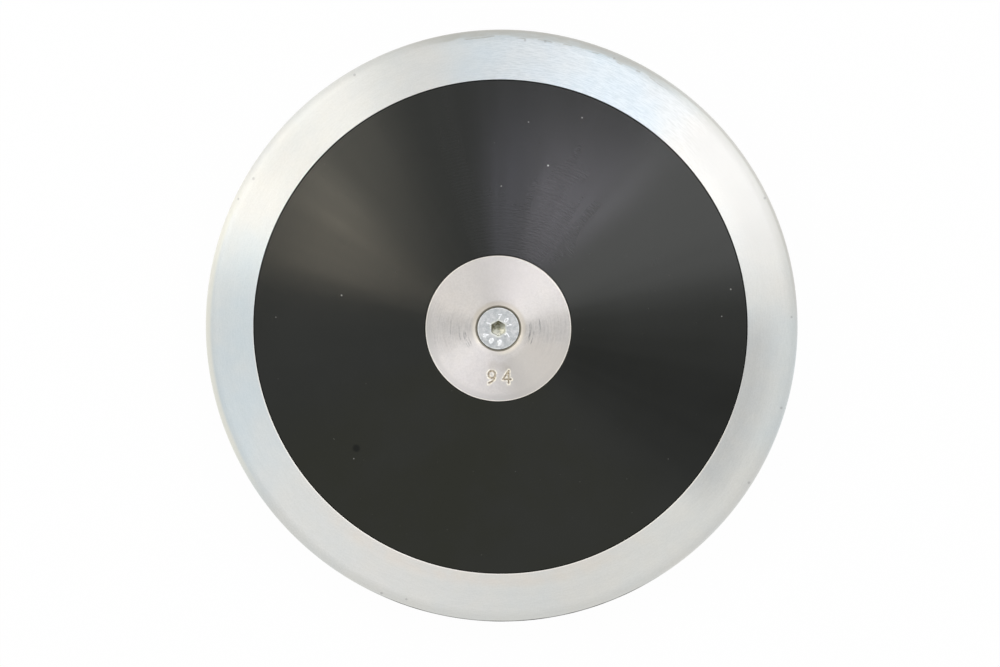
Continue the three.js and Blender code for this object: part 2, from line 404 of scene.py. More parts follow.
rimFinish = dict(
    colour=(0.675, 0.675, 0.645, 1),
    patches=(26 * mm, 0.35, 0.65),
    mottle=(7 * mm, 0.3, 0.7, 3.0),
    mottleTint=(0.16, (0.38, 0.43, 0.5, 1), (0.6, 0.57, 0.52, 1)),
    cool=(0.6, 0.665, 0.69, 1),
    coolShare=0.15,
    # These sides paint a cool reflection into the colour; the cool patches are the zinc's own tone.
    paintedCoolReflectionSides=[(75, 24, 1.0), (187, 26, 0.9), (350, 14, 0.5)],  # and a share
    # A painted dark reflection on one side, strongest near the seam and fading out towards the rounded
    # edge.
    paintedDarkReflection=(0.54, 0.55, 0.54, 1),
    paintedDarkReflectionSide=(341, 20),
    paintedDarkReflectionFade=(93 * mm, 107 * mm),
    # A painted warm reflection on one side near the seam, mottled.
    paintedWarmReflection=(0.69, 0.66, 0.61, 1),
    paintedWarmReflectionSide=(265, 36),
    paintedWarmReflectionFade=(94 * mm, 98 * mm),
    paintedWarmReflectionShares=(0.3, 0.8),
    marks=(0.3 * mm, 32),
    markRange=(0.36, 0.62),
    markTints=(grey(0.3), grey(0.66)),
    markSide=(66, 26),
    markShares=(0.16, 0.66),
    broadMarks=(2.5 * mm, 2.0),
    broadTint=(0.3, grey(0.35), grey(0.65)),
    grain=(0.55 * mm, 3.0),
    grainTint=(0.3, grey(0.38), grey(0.62)),
    # The worn band is worn plating and also painted shade over the rounded edge, strongest on one side.
    worn=(0.5, 0.495, 0.45, 1),  # the band over the rounded edge
    wornAndShadeSide=(80, 24),
    wornStart=106.8 * mm,
    wornWaver=2.2 * mm,
    wornBorder=(-0.2 * mm, 0.9 * mm),
    wornShares=(0.5, 0.8),
    wornRoughness=0.06,
    wornLine=(0.34, 0.32, 0.27, 1),
    wornLineWidth=(-0.1 * mm, 0.1 * mm, 0.2 * mm),  # and its soft border
    wornLinePatches=(4 * mm, 0.48, 0.6),
    # Painted shade and painted highlight on the outer part of the rim: darker on two sides, cream on
    # one.
    paintedOuterShadeAndLight=[  # side, where it starts in mm, share and colour
        (31, 14, 89.5, 0.8, (0.625, 0.625, 0.6, 1)),
        (58, 50, 108.4, 0.7, (0.5, 0.495, 0.46, 1)),
        (182, 28, 106.8, 0.8, (0.8, 0.79, 0.71, 1)),
    ],
    # A painted shadow: a thin, broken dark line on the front of the rounded edge, on one side.
    paintedEdgeShadow=(0.03, 0.03, 0.028, 1),  # thin and broken, on the front of the edge
    paintedEdgeShadowSide=(273, 25),
    paintedEdgeShadowHeights=(1.0 * mm, 2.3 * mm, 0.6 * mm),  # and its soft border
    paintedEdgeShadowStart=(107 * mm, 108 * mm),
    # A painted highlight along the rim's edge at the seam, on one side.
    seamHighlight=(0.9, 0.88, 0.82, 1),
    seamHighlightSide=(260, 75),
    seamHighlightWidth=0.6 * mm,
    # Painted shade down in the gap of the seam.
    seamShade=(0.03, 0.03, 0.025, 1),  # down in the seam
    seamShadeTop=0.14 * mm,
    nick=grey(0.3),
    nicks=[  # angle in degrees, radius and size in mm
        (120, 107.5, 0.7), (85, 106, 0.6), (81, 106.5, 0.7), (67, 107.5, 0.6), (149, 106.5, 0.8),
        (154, 108, 0.6), (26, 108.5, 0.7), (344, 108, 0.7), (2, 107.5, 0.6), (328, 108.5, 0.7),
        (246, 108.5, 0.7), (251, 107, 0.6),
    ],
    roughness=(0.42, 0.1, 0.08),
    bump=(0.02 * mm, 0.4),
)


# Bright zinc over turned steel: grey with cool places and brushed marks round it, painted cool, dark
# and warm reflections on some sides, a worn band over the rounded edge that is also painted shade,
# painted shade and highlight near the outline, nicks, a painted shadow line on the front of the edge,
# and a painted highlight and painted shade at the seam.
def zincPlating():
    look = rimFinish
    zinc = Finish("zinc_plate", look["colour"])
    marks, broad = zinc.marks(*look["marks"]), zinc.marks(*look["broadMarks"])
    patches, mottle = zinc.patches(*look["patches"]), zinc.patches(*look["mottle"])
    grain = zinc.cloud(*look["grain"])
    zinc.paint(look["cool"], patches * look["coolShare"])
    # Painted cool reflection on some sides.
    for angle, reach, share in look["paintedCoolReflectionSides"]:
        zinc.paint(look["cool"], zinc.facing(angle, reach) * ranged(patches, 0.6) * share)
    # Painted dark reflection on one side.
    paintedDarkReflection = zinc.facing(*look["paintedDarkReflectionSide"]) * zinc.fade(zinc.radius, *look["paintedDarkReflectionFade"])
    zinc.paint(look["paintedDarkReflection"], paintedDarkReflection)
    # Painted warm reflection on one side, near the seam.
    paintedWarmReflection = zinc.facing(*look["paintedWarmReflectionSide"]) * zinc.fade(zinc.radius, *look["paintedWarmReflectionFade"])
    zinc.paint(look["paintedWarmReflection"], paintedWarmReflection * ranged(mottle, *look["paintedWarmReflectionShares"]))
    zinc.tint(mottle, *look["mottleTint"])
    brushed = ranged(zinc.facing(*look["markSide"]), *look["markShares"])
    zinc.tint(zinc.smooth(marks, *look["markRange"]), brushed, *look["markTints"])
    zinc.tint(zinc.smooth(grain, 0.3, 0.7), *look["grainTint"])
    zinc.tint(broad, *look["broadTint"])
    # Worn plating and painted shade over the rounded edge.
    border = look["wornStart"] + (zinc.cloud(9 * mm, 1.0) - 0.5) * look["wornWaver"]
    side = ranged(zinc.facing(*look["wornAndShadeSide"]), 0.05)
    worn = zinc.smooth(zinc.radius - border, *look["wornBorder"]) * side
    zinc.paint(look["worn"], worn * ranged(mottle, *look["wornShares"]))
    line = zinc.between(zinc.radius - border, *look["wornLineWidth"]) * side
    zinc.paint(look["wornLine"], line * zinc.patches(*look["wornLinePatches"]) * 0.5)
    # Painted shade and highlight on the outer part, by side.
    for angle, reach, start, share, tone in look["paintedOuterShadeAndLight"]:
        outer = zinc.smooth(zinc.radius, start * mm, (start + outerRadius / mm) / 2 * mm)
        zinc.paint(tone, zinc.facing(angle, reach) * outer * share)
    # Painted shadow line on the front of the edge.
    paintedEdgeShadow = zinc.between(zinc.z, *look["paintedEdgeShadowHeights"]) * zinc.facing(*look["paintedEdgeShadowSide"])
    paintedEdgeShadow = paintedEdgeShadow * zinc.smooth(zinc.radius, *look["paintedEdgeShadowStart"])
    zinc.paint(look["paintedEdgeShadow"], paintedEdgeShadow * ranged(mottle, 0.55))
    fromSeam, width, top = zinc.radius - seamRadius, look["seamHighlightWidth"], look["seamShadeTop"]
    # Painted highlight at the seam, on one side.
    paintedHighlight = zinc.fade(fromSeam, width * 0.6, width) * zinc.facing(*look["seamHighlightSide"])
    zinc.paint(look["seamHighlight"], paintedHighlight * 0.8)
    # Painted shade in the seam's gap.
    zinc.paint(look["seamShade"], zinc.fade(fromSeam, top * 0.5, top))
    nicked = 0.0
    for angle, radius, size in look["nicks"]:
        x, y = radius * cos(angle * degree), radius * sin(angle * degree)
        nicked = zinc.spot(x, y, size) + nicked
    zinc.paint(look["nick"], nicked * 0.45)
    roughness = uneven(look["roughness"], marks, grain) + worn * look["wornRoughness"]
    bump = zinc.bump(marks + grain * 0.4 + broad * 2.0 - nicked * 3.0, *look["bump"])
    return zinc.shade(Roughness=roughness, Normal=bump, **turnedGloss)


plasticFinish = dict(
    colour=(0.005, 0.0055, 0.0048, 1),
    # warm is a painted warm reflection on one side of the black.
    warm=(0.0052, 0.0055, 0.0012, 1),
    warmReflectionSide=(258, 50),
    dusty=(0.0085, 0.009, 0.0085, 1),
    dustyCloud=(28 * mm, 4.0),
    dustyRange=(0.35, 0.7),
    dustyShare=0.6,
    dust=(0.22, 0.22, 0.2, 1),
    dustGrains=(1.1 * mm, 0.79, 0.83, 1.0),
    dustShare=0.25,
    marks=(0.45 * mm, 4),
    fineMarks=(0.2 * mm, 9.0),
    # lit paints the turning rings and a fan of streaks lighter, as highlights, on the lit side.
    lit=(0.0125, 0.013, 0.0125, 1),
    litSide=(65, 44),  # where rings and fan show
    ringPitch=1.25 * mm,
    ringPatches=(24 * mm, 0.36, 0.62, 1.0),
    ringFade=(60 * mm, 80 * mm),
    ringShare=0.42,
    fanScale=9.0,
    fanRange=(0.42, 0.68),
    fanShare=0.3,
    lint=(0.55, 0.55, 0.52, 1),
    specks=[  # x, y and size in mm, and how pale
        (17.9, 59.3, 0.4, 1.0), (30.3, 76.9, 0.36, 0.5), (10.7, 75.3, 0.3, 0.5), (0.9, 51.8, 0.32, 0.5),
        (84.8, 14.1, 0.36, 0.5), (81.5, 4.2, 0.3, 0.4), (-57.7, 11.9, 0.36, 0.7),
        (-82.5, 3.7, 0.3, 0.25), (-53.6, -48.3, 0.34, 0.3),
    ],
    stain=(-52.6, -44.4, 1.9),  # x, y and size in mm
    stainMetallic=0.45,  # takes the satin off it
    roughness=(0.173, 0.03, 0.03, 0.11),
    bump=(0.02 * mm, 0.35),
    reflection=0.33,
    sheen=(0.97, 1.0, 0.94, 1),
)


# Satin black plastic: near black with a painted warm reflection on one side, a faint dusting, a few
# specks, a dark stain and fine marks, and on one side rings and a fan of streaks painted lighter as
# highlights.
def blackPlastic():
    look = plasticFinish
    plastic = Finish("black_plastic", look["colour"])
    marks, fine = plastic.marks(*look["marks"]), plastic.marks(*look["fineMarks"])
    dusting = plastic.cloud(*look["dustyCloud"])
    # Painted warm reflection on one side.
    plastic.paint(look["warm"], plastic.facing(*look["warmReflectionSide"]))
    plastic.paint(look["dusty"], plastic.smooth(dusting, *look["dustyRange"]) * look["dustyShare"])
    plastic.paint(look["dust"], plastic.patches(*look["dustGrains"]) * look["dustShare"])
    # Painted highlights: rings and streaks made lighter on the lit side.
    side = ranged(plastic.facing(*look["litSide"]), 0.15)
    highlightRings = plastic.grooves(look["ringPitch"]) * 0.5 + 0.5
    highlightRings = highlightRings * plastic.patches(*look["ringPatches"]) * side
    highlightRings = highlightRings * (1 - plastic.smooth(plastic.radius, *look["ringFade"]) * 0.7)
    around = plastic.vector(plastic.outX, plastic.outY, 0.0)
    fan = plastic.add("TexNoise", {}, {"Vector": around, "Scale": look["fanScale"]})
    highlightStreaks = plastic.smooth(fan, *look["fanRange"]) * side
    plastic.paint(look["lit"], highlightRings * look["ringShare"] + highlightStreaks * look["fanShare"])
    for x, y, size, pale in look["specks"]:
        plastic.paint(look["lint"], plastic.spot(x, y, size) * pale)
    stain = plastic.spot(*look["stain"])
    plastic.paint(look["colour"], stain)
    return plastic.shade(
        Metallic=stain * look["stainMetallic"],
        Roughness=uneven(look["roughness"], marks, dusting, fan),
        Normal=plastic.bump(marks * 0.5 + fine * 0.25, *look["bump"]),
        Specular_IOR_Level=look["reflection"],
        Specular_Tint=look["sheen"],
    )


centreFinish = dict(
    colour=(0.567, 0.547, 0.528, 1),
    marks=(0.22 * mm, 3.0, 3.0),
    coarseMarks=(1.1 * mm, 2.0),
    coarseShare=0.3,
    coarseTints=(grey(0.3), grey(0.7)),
    roughSides=[(180, 24), (350, 22)],
    streak=(0.47, 0.455, 0.44, 1),
    streakRange=(0.3, 0.65),
    grain=(0.6 * mm, 0.3, 0.7, 3.0),
    grainTint=(0.34, grey(0.36), grey(0.64)),
    clouds=(3.5 * mm, 0.3, 0.7),
    cloudTint=(0.2, (0.4, 0.42, 0.45, 1), (0.6, 0.58, 0.55, 1)),
    # Painted shade on two sides and a painted highlight on one.
    paintedShadeAndLight=[  # side, where it starts and is full in mm, share and colour
        (262, 86, 23.4, 25.0, 0.9, (0.495, 0.48, 0.465, 1)),
        (312, 30, 10.5, 12.5, 0.65, (0.5, 0.48, 0.455, 1)),
        (84, 34, 10.5, 12.5, 0.45, (0.62, 0.595, 0.575, 1)),
    ],
    scratch=grey(0.25),
    scratches=[  # side, radius and width in mm
        (199, 12, 12.4, 0.9), (352, 16, 11.7, 0.7), (205, 9, 11.3, 0.3), (345, 10, 13.0, 0.25),
        (188, 10, 14.3, 0.2), (178, 9, 17.4, 0.2), (3, 9, 15.2, 0.2),
    ],
    scratchBorder=0.15 * mm,
    scratchMarks=(0.12 * mm, 6.0),
    scratchRange=(0.45, 0.6),
    # A darker ring round the countersink, on one side.
    stain=(0.46, 0.43, 0.38, 1),
    darkRingSide=(80, 90),
    darkRingFade=(9.2 * mm, 10.6 * mm),
    burnish=(0.84, 0.78, 0.67, 1),
    burnishFade=(8.7 * mm, 10.2 * mm),
    burnishSides=[(190, 26, 0.36), (322, 50, 0.42)],  # and a share
    # A bright edge round the plate: partly burnish, partly a painted highlight on its rounded edge.
    edge=(0.8, 0.77, 0.7, 1),
    edgeStart=(26.0 * mm, 26.3 * mm),
    # A darker olive line round the edge of the countersink.
    sinkEdgeLine=(0.26, 0.24, 0.19, 1),
    sinkFade=(8.32 * mm, 8.45 * mm),
    smudges=[(-1.8, -13.6, 2.6), (1.6, -13.9, 2.4), (3.6, -14.6, 1.6)],  # x, y and size in mm
    smudgeShare=0.16,
    # The stamp's cut is painted brown and dark, as dirt and painted shade, and its burrs get a painted
    # highlight; stampDark also serves the smudges.
    stampDark=(0.25, 0.21, 0.15, 1),
    stampBrown=(0.5, 0.44, 0.33, 1),
    stampHighlight=(0.97, 0.92, 0.78, 1),
    stampFlakes=(0.8 * mm, 0.42, 0.56, 3.0),
    roughness=(0.37, 0.1, 0.06),
    groovePitch=0.25 * mm,
    grooveDepth=0.0075 * mm,  # half of it, from the middle to a crest
)


# Bare turned aluminium, a little warm: strong marks round it, painted shade and highlight on some
# sides, dark scratches where tools slipped, a ring at the countersink that is darker on one side and
# burnished on others, a darker line round the countersink's edge, a bright edge that is partly burnish
# and partly a painted highlight, and in the stamp dirt and painted shade in the cut and a painted
# highlight on the burrs.
def turnedAluminium():
    look = centreFinish
    metal = Finish("turned_aluminium", look["colour"])
    marks, coarse = metal.marks(*look["marks"]), metal.marks(*look["coarseMarks"])
    left, right = (metal.facing(*side) for side in look["roughSides"])
    rough = ranged(left | right, 0.08)
    metal.paint(look["streak"], metal.fade(marks, *look["streakRange"]) * rough)
    metal.tint(coarse, rough * look["coarseShare"], *look["coarseTints"])
    metal.tint(metal.patches(*look["grain"]), *look["grainTint"])
    metal.tint(metal.patches(*look["clouds"]), *look["cloudTint"])
    # Painted shade and highlight by side.
    for angle, reach, start, full, share, shade in look["paintedShadeAndLight"]:
        side = metal.facing(angle, reach) * metal.smooth(metal.radius, start * mm, full * mm)
        metal.paint(shade, side * share)
    broken = metal.smooth(metal.marks(*look["scratchMarks"]), *look["scratchRange"])
    for angle, reach, radius, width in look["scratches"]:
        low, high = (radius - width / 2) * mm, (radius + width / 2) * mm
        band = metal.between(metal.radius, low, high, look["scratchBorder"])
        place = band * metal.facing(angle, reach) * metal.smooth(metal.z, 0.0, mm)
        metal.paint(look["scratch"], place * broken)
    wavering = metal.radius + (coarse - 0.5) * mm
    # Darker ring round the countersink, on one side.
    stain = metal.fade(wavering, *look["darkRingFade"]) * 0.8
    metal.paint(look["stain"], stain * metal.facing(*look["darkRingSide"]))
    strong = 0.12
    for angle, reach, share in look["burnishSides"]:
        strong = metal.facing(angle, reach) * share + strong
    metal.paint(look["burnish"], metal.fade(wavering, *look["burnishFade"]) * strong)
    # Bright edge: burnish and painted highlight.
    metal.paint(look["edge"], metal.smooth(metal.radius, *look["edgeStart"]) * 0.8)
    # Darker line round the countersink's edge.
    metal.paint(look["sinkEdgeLine"], metal.fade(metal.radius, *look["sinkFade"]) * 0.9)
    for x, y, size in look["smudges"]:
        metal.paint(look["stampDark"], metal.spot(x, y, size) * look["smudgeShare"])
    # Dirt and painted shade in the stamp's cut, and a painted highlight on its burrs.
    flaked = metal.patches(*look["stampFlakes"])
    metal.paint(metal.mix(flaked, look["stampBrown"], look["stampDark"]), metal.kept("stampCut"))
    metal.paint(look["stampHighlight"], metal.kept("stampBurr") * (0.9 - flaked * 0.65))
    relief = metal.grooves(look["groovePitch"]) + marks * rough * 0.5
    bump = metal.bump(relief, look["grooveDepth"])
    roughness = uneven(look["roughness"], marks, coarse)
    return metal.shade(Roughness=roughness, Normal=bump, **turnedGloss)


screwFinish = dict(
    colour=(0.42, 0.44, 0.45, 1),
    rubbed=(0.52, 0.53, 0.535, 1),
    blotches=(1.6 * mm, 4.0),
    rubbedRange=(0.38, 0.66),
    grain=(0.55 * mm, 0.3, 0.7),
    grainTint=(0.6, grey(0.36), grey(0.64)),
    wear=(1.3 * mm, 0.36, 0.6, 3.0),
    lip=(0.66, 0.68, 0.62, 1),
    mark=(0.8, 0.82, 0.83, 1),
    markRoughness=0.08,
    headEdge=(0.62, 0.64, 0.62, 1),
    headEdgeStart=(headRadius - 0.5 * mm, headRadius - 0.3 * mm),
    # A yellowish, darker tone down the socket.
    socketTone=(0.34, 0.345, 0.275, 1),
    socketFade=(2.9 * mm, 3.2 * mm),
    socketHeights=(screwTop - 1.6 * mm, screwTop - 0.1 * mm),
    socketFlakes=(0.9 * mm, 0.4, 0.6, 3.0),
    # Painted shade on one side of the socket.
    socketPaintedShade=(0.1, 0.095, 0.055, 1),
    socketShadeSide=(120, 80),
    socketShadeStart=(0.3 * mm, 1.6 * mm),
    # Painted highlight on the other side of the socket.
    socketPaintedHighlight=(0.6, 0.6, 0.5, 1),
    socketHighlightSide=(310, 60),
    socketEnd=(0.2, 0.205, 0.14, 1),  # round the drilled cone
    endFade=(0.4 * mm, 1.1 * mm),
    roughness=(0.36, 0.4),
    bump=(0.06 * mm, 0.5),
)


# Zinc on a pressed screw: blue grey and blotched, rubbed bright on its raised marks, its edge and the
# lip of the socket, with a yellowish, darker tone down the socket, painted shade on one side of it, a
# painted highlight on the other, and a darker ring round the drilled cone.
def platedScrew():
    look = screwFinish
    zinc = Finish("plated_screw", look["colour"])
    blotches, worn = zinc.cloud(*look["blotches"]), zinc.patches(*look["wear"])
    zinc.paint(look["rubbed"], zinc.smooth(blotches, *look["rubbedRange"]))
    zinc.tint(zinc.patches(*look["grain"]), *look["grainTint"])
    raised = zinc.kept("raised")
    zinc.paint(look["lip"], zinc.kept("lip") * ranged(worn, 0.15))
    zinc.paint(look["mark"], raised * 0.85)
    edge = zinc.smooth(zinc.radius, *look["headEdgeStart"])
    zinc.paint(look["headEdge"], edge * worn * 0.9)
    height = zinc.z | 0 - zinc.z  # alike on both faces
    deep = zinc.fade(height, *look["socketHeights"])
    inSocket = deep * zinc.fade(zinc.radius, *look["socketFade"])
    # Yellowish, darker tone down the socket.
    zinc.paint(look["socketTone"], inSocket * 0.9)
    flakes = zinc.patches(*look["socketFlakes"])
    # Painted shade on one side of the socket.
    dark = zinc.facing(*look["socketShadeSide"]) * zinc.smooth(zinc.radius, *look["socketShadeStart"])
    zinc.paint(look["socketPaintedShade"], inSocket * dark * ranged(flakes, 0.4))
    # Painted highlight on the other side of the socket.
    paintedHighlight = zinc.facing(*look["socketHighlightSide"]) * flakes
    zinc.paint(look["socketPaintedHighlight"], inSocket * paintedHighlight * 0.9)
    zinc.paint(look["socketEnd"], inSocket * zinc.fade(zinc.radius, *look["endFade"]) * 0.8)
    roughness = uneven(look["roughness"], blotches) - raised * look["markRoughness"]
    bump = zinc.bump(blotches, *look["bump"])
    return zinc.shade(Metallic=1.0, Roughness=roughness, Normal=bump)


innerFinish = dict(
    dark=grey(0.24),
    pale=grey(0.36),
    marks=(0.3 * mm, 5.0),
    rust=(0.2, 0.1, 0.05, 1),
    rustSpecks=(3 * mm, 0.62, 0.72, 5.0),
    roughness=(0.4, 0.2),
    bump=(0.03 * mm, 0.5),
)


# Bare steel on the pieces inside: grey, with marks round it and a few rusty specks.
def innerSteel():
    look = innerFinish
    steel = Finish("inner_steel", look["dark"])
    marks = steel.marks(*look["marks"])
    steel.paint(look["pale"], marks)
    steel.paint(look["rust"], steel.patches(*look["rustSpecks"]) * 0.6)
    bump = steel.bump(marks, *look["bump"])
    return steel.shade(Metallic=1.0, Roughness=uneven(look["roughness"], marks), Normal=bump)


finishes = {
    "zinc": zincPlating(),
    "plastic": blackPlastic(),
    "aluminium": turnedAluminium(),
    "screw": platedScrew(),
    "steel": innerSteel(),
}
print("finishes made:", len(finishes))

rimShape = dict(
    flangeWidth=4.6 * mm,
    seamFillet=0.2 * mm,
    flangeFillet=0.6 * mm,
    angles=720,
    step=0.9 * mm,
)


# Rim: a profile swept round the axis, over the rounded edge and both flanks, and back round the flange
# that carries the side plates.
def makeRim():
    shape = rimShape
    bore, seat = seamRadius - shape["flangeWidth"], underSkin(seamRadius)
    upper = [
        (seamRadius, flankHeight(seamRadius), shape["seamFillet"]),
        (seamRadius, seat, 0),
        (bore, seat, shape["flangeFillet"]),
    ]
    lower = [(radius, -height, fillet) for radius, height, fillet in reversed(upper)]
    radius, height = roundedProfile([(flankTip, 0, edgeRadius)] + upper + lower, shape["step"])
    points = roundPoints(radius, evenAngles(shape["angles"]), height)
    addPiece(gridMesh(points), "rim", "zinc")


makeRim()
print("rim made")

plateShape = dict(
    floorWall=3.5 * mm,
    recessWall=2.5 * mm,
    spigotWall=2.5 * mm,
    hubHole=8.25 * mm,
    hubTube=11.85 * mm,
    ballastTop=4 * mm,
    pocket=25.25 * mm,
    boss=28.25 * mm,
    middleGap=0.15 * mm,
    ribs=12,
    ribHalf=1 * mm,
    ribDraft=1 * degree,
    leastRibHeight=0.5 * mm,
    ringRibShares=(0.34, 0.67),
    ringRibHeightShare=0.55,
    clampRibHeight=6 * mm,
    linesPerRib=25,
    edgeFillet=0.15 * mm,
    seatFillet=0.2 * mm,
    freeFillet=0.3 * mm,  # on the free edges of tube, boss, ribs and spigot
    mouldFillet=0.5 * mm,
    step=1.9 * mm,
)


# Underside of a side plate, from the hub outwards: hub tube, floor, boss round the ballast, the skin
# with its two ring ribs, and the spigot that centres the plate in the rim.
def undersideCorners(shape, spigotInside):
    floor = recessFloor - shape["floorWall"]
    skinStart = flatRadius + visibleSeam + shape["recessWall"]
    mould, seat, free = shape["mouldFillet"], shape["seatFillet"], shape["freeFillet"]
    tube, pocket, boss = shape["hubTube"], shape["pocket"], shape["boss"]
    low, half = shape["middleGap"], shape["ribHalf"]
    corners = [
        (shape["hubHole"], shape["ballastTop"], free),
        (tube, shape["ballastTop"], free),
        (tube, floor, mould),
        (pocket, floor, mould),
        (pocket, low, free),
        (boss, low, free),
        (boss, floor, seat),
        (skinStart, floor, seat),
        (skinStart, underSkin(skinStart), mould),
    ]
    for share in shape["ringRibShares"]:
        radius = boss + (spigotInside - boss) * share
        root = underSkin(radius)
        foot = root - (root - low) * shape["ringRibHeightShare"]
        spread = half + (root - foot) * tan(shape["ribDraft"])
        corners += [
            (radius - spread, underSkin(radius - spread), mould),
            (radius - half, foot, free),
            (radius + half, foot, free),
            (radius + spread, underSkin(radius + spread), mould),
        ]
    return corners + [
        (spigotInside, underSkin(spigotInside), mould),
        (spigotInside, low, free),
        (spigotInside + shape["spigotWall"], low, free),
    ]


# Angles of the lines round a plate, at each radius. Every rib has one down its middle, two along its
# free edge and two along its root, and the rest are spaced evenly.
def plateAngles(shape, radius, rootHalf):
    sector = 2 * pi / shape["ribs"]
    foot, root = np.arcsin(shape["ribHalf"] / radius), np.arcsin(rootHalf / radius)
    free = shape["linesPerRib"] - 5
    spread = [root + (sector - 2 * root) * (i + 1) / (free + 1) for i in range(free)]
    one = np.stack([0 * foot, foot, root, *spread, sector - root, sector - foot], axis=1)
    return np.concatenate([one + sector * rib for rib in range(shape["ribs"])], axis=1)


# Side plate: the profile gives each row its radius and height, and the lines that run on a rib are
# pulled down to its free edge. Every second rib goes on inside the boss, lower, to clamp the ballast.
def makeSidePlates():
    shape = plateShape
    spigot = seamRadius - rimShape["flangeWidth"] - clearance
    spigotInside = spigot - shape["spigotWall"]
    outside, mouth = seamRadius - visibleSeam, flatRadius + visibleSeam
    underSeat = underSkin(seamRadius)
    seat, edge = shape["seatFillet"], shape["edgeFillet"]
    corners = undersideCorners(shape, spigotInside) + [
        (spigot, underSeat, 0),
        (outside, underSeat, seat),
        (outside, flankHeight(outside), edge),
        (mouth, flankHeight(mouth), edge),
        (mouth, recessFloor, seat),
        (shape["hubHole"], recessFloor, seat),
    ]
    radius, height = roundedProfile(corners, shape["step"])
    near = 0.01 * mm
    under = height < np.minimum(recessFloor - mm, flankHeight(radius) - skinWall / 2)
    ribbed = under & (radius >= shape["boss"] - near) & (radius <= spigotInside + near)
    clamped = under & (radius >= shape["hubTube"] - near) & (radius <= shape["pocket"] + near)
    clampFoot = recessFloor - shape["floorWall"] - shape["clampRibHeight"]
    foot = np.where(clamped, clampFoot, shape["middleGap"])
    tall = np.maximum(height - foot, shape["leastRibHeight"])
    rootHalf = shape["ribHalf"] + tall * tan(shape["ribDraft"])
    lines = shape["linesPerRib"]
    line = np.arange(shape["ribs"] * lines)[None, :]
    onRib = np.isin(line % lines, (0, 1, lines - 1))
    onClamp = onRib & (((line + 1) // lines) % 2 == 0)
    pulled = (ribbed & onRib) | (clamped & onClamp)
    angle = plateAngles(shape, radius[:, 0], rootHalf[:, 0])
    points = roundPoints(radius, angle, np.where(pulled, np.minimum(height, foot), height))
    addPair(gridMesh(points, merge=True), "side_plate", "plastic")


makeSidePlates()
print("side plates made")


# Arc of a numeral, in shares of its height: centre, half width, half height, first and last degree.
def arc(centre, across, along, start, end):
    turn = np.linspace(start, end, 13) * degree
    return np.stack([centre[0] + across * np.cos(turn), centre[1] + along * np.sin(turn)], axis=1)


# Strokes of plain numerals in a cell that is 0.6 wide and 1 high.
numerals = {
    "0": [arc((0.3, 0.5), 0.28, 0.5, 0, 360)],
    "1": [np.array([(0.12, 0.78), (0.34, 1), (0.34, 0)])],
    "4": [np.array([(0.46, 0), (0.46, 1), (0, 0.3), (0.64, 0.3)])],
    "7": [np.array([(0.02, 1), (0.58, 1), (0.2, 0)])],
    "9": [arc((0.3, 0.7), 0.28, 0.3, 0, 360), arc((-0.1, 0.7), 0.68, 0.72, 0, -76)],
}


# Distance from each point (x, y) to the nearest stroke of a numeral of that size, centred on 0.
def strokeDistance(x, y, numeral, size):
    nearest = np.full(x.shape, np.inf)
    for stroke in numerals[numeral]:
        spots = (stroke - (0.3, 0.5)) * size
        for (ax, ay), (bx, by) in zip(spots[:-1], spots[1:]):
            dx, dy = bx - ax, by - ay
            share = np.clip(((x - ax) * dx + (y - ay) * dy) / (dx * dx + dy * dy), 0, 1)
            nearest = np.minimum(nearest, np.hypot(x - ax - dx * share, y - ay - dy * share))
    return nearest


centreShape = dict(
    edgeFillet=0.18 * mm,
    holeRadius=4.3 * mm,
    holeFillet=0.2 * mm,
    sinkRadius=8.38 * mm,
    sinkFillet=0.1 * mm,
    angles=720,
    step=0.9 * mm,
    undersideStep=2.5 * mm,
    faceStep=0.8 * mm,
    stampStep=0.15 * mm,
    stampBand=(14.8 * mm, 20.6 * mm),  # radii that get a fine grid
    stamp=[("9", -2.35, -17.6), ("4", 3.05, -17.6)],  # numeral, x and y in mm
    stampSize=4.4 * mm,
    stampStroke=0.4 * mm,  # half of its width, and the places below are shares of it
    stampWall=(0.4, 1.1),
    stampDepth=0.2 * mm,
    burrPlace=1.5,
    burrWidth=0.55,
    burrHeight=0.05 * mm,
)


# How far a stamp has cut and how far its burr stands up, 0 to 1, from the distance to its strokes.
def stampField(shape, x, y):
    nearest = np.full(x.shape, np.inf)
    for numeral, right, up in shape["stamp"]:
        away = strokeDistance(x - right * mm, y - up * mm, numeral, shape["stampSize"])
        nearest = np.minimum(nearest, away)
    half = shape["stampStroke"]
    start, end = shape["stampWall"]
    cut = 1 - easing(nearest, half * start, half * end)
    return cut, bell(nearest - half * shape["burrPlace"], half * shape["burrWidth"])


# Centre plate: a disc with a rounded edge and a countersunk hole, and the stamp pressed into the top.
def centrePlateMesh(stamped):
    shape = centreShape
    hole, sink, face = shape["holeRadius"], shape["sinkRadius"], shape["faceStep"]
    corners = [
        (hole, recessFloor, shape["holeFillet"], shape["undersideStep"]),
        (flatRadius, recessFloor, shape["edgeFillet"]),
        (flatRadius, faceHeight, shape["edgeFillet"], face),
        (shape["stampBand"][1], faceHeight, 0, shape["stampStep"]),
        (shape["stampBand"][0], faceHeight, 0, face),
        (sink, faceHeight, shape["sinkFillet"]),
        (hole, faceHeight - (sink - hole), shape["holeFillet"]),
    ]
    radius, height = roundedProfile(corners, shape["step"])
    points = roundPoints(radius, evenAngles(shape["angles"]), height)
    onTop = (points[..., 2] > faceHeight - hair) * float(stamped)
    cut, burr = (field * onTop for field in stampField(shape, points[..., 0], points[..., 1]))
    points[..., 2] += shape["burrHeight"] * burr * (1 - cut) - shape["stampDepth"] * cut
    points[..., 2] = np.minimum(points[..., 2], faceHeight)
    mesh = gridMesh(points)
    keepValues(mesh, "stampCut", cut)
    keepValues(mesh, "stampBurr", burr * (1 - cut))
    return mesh


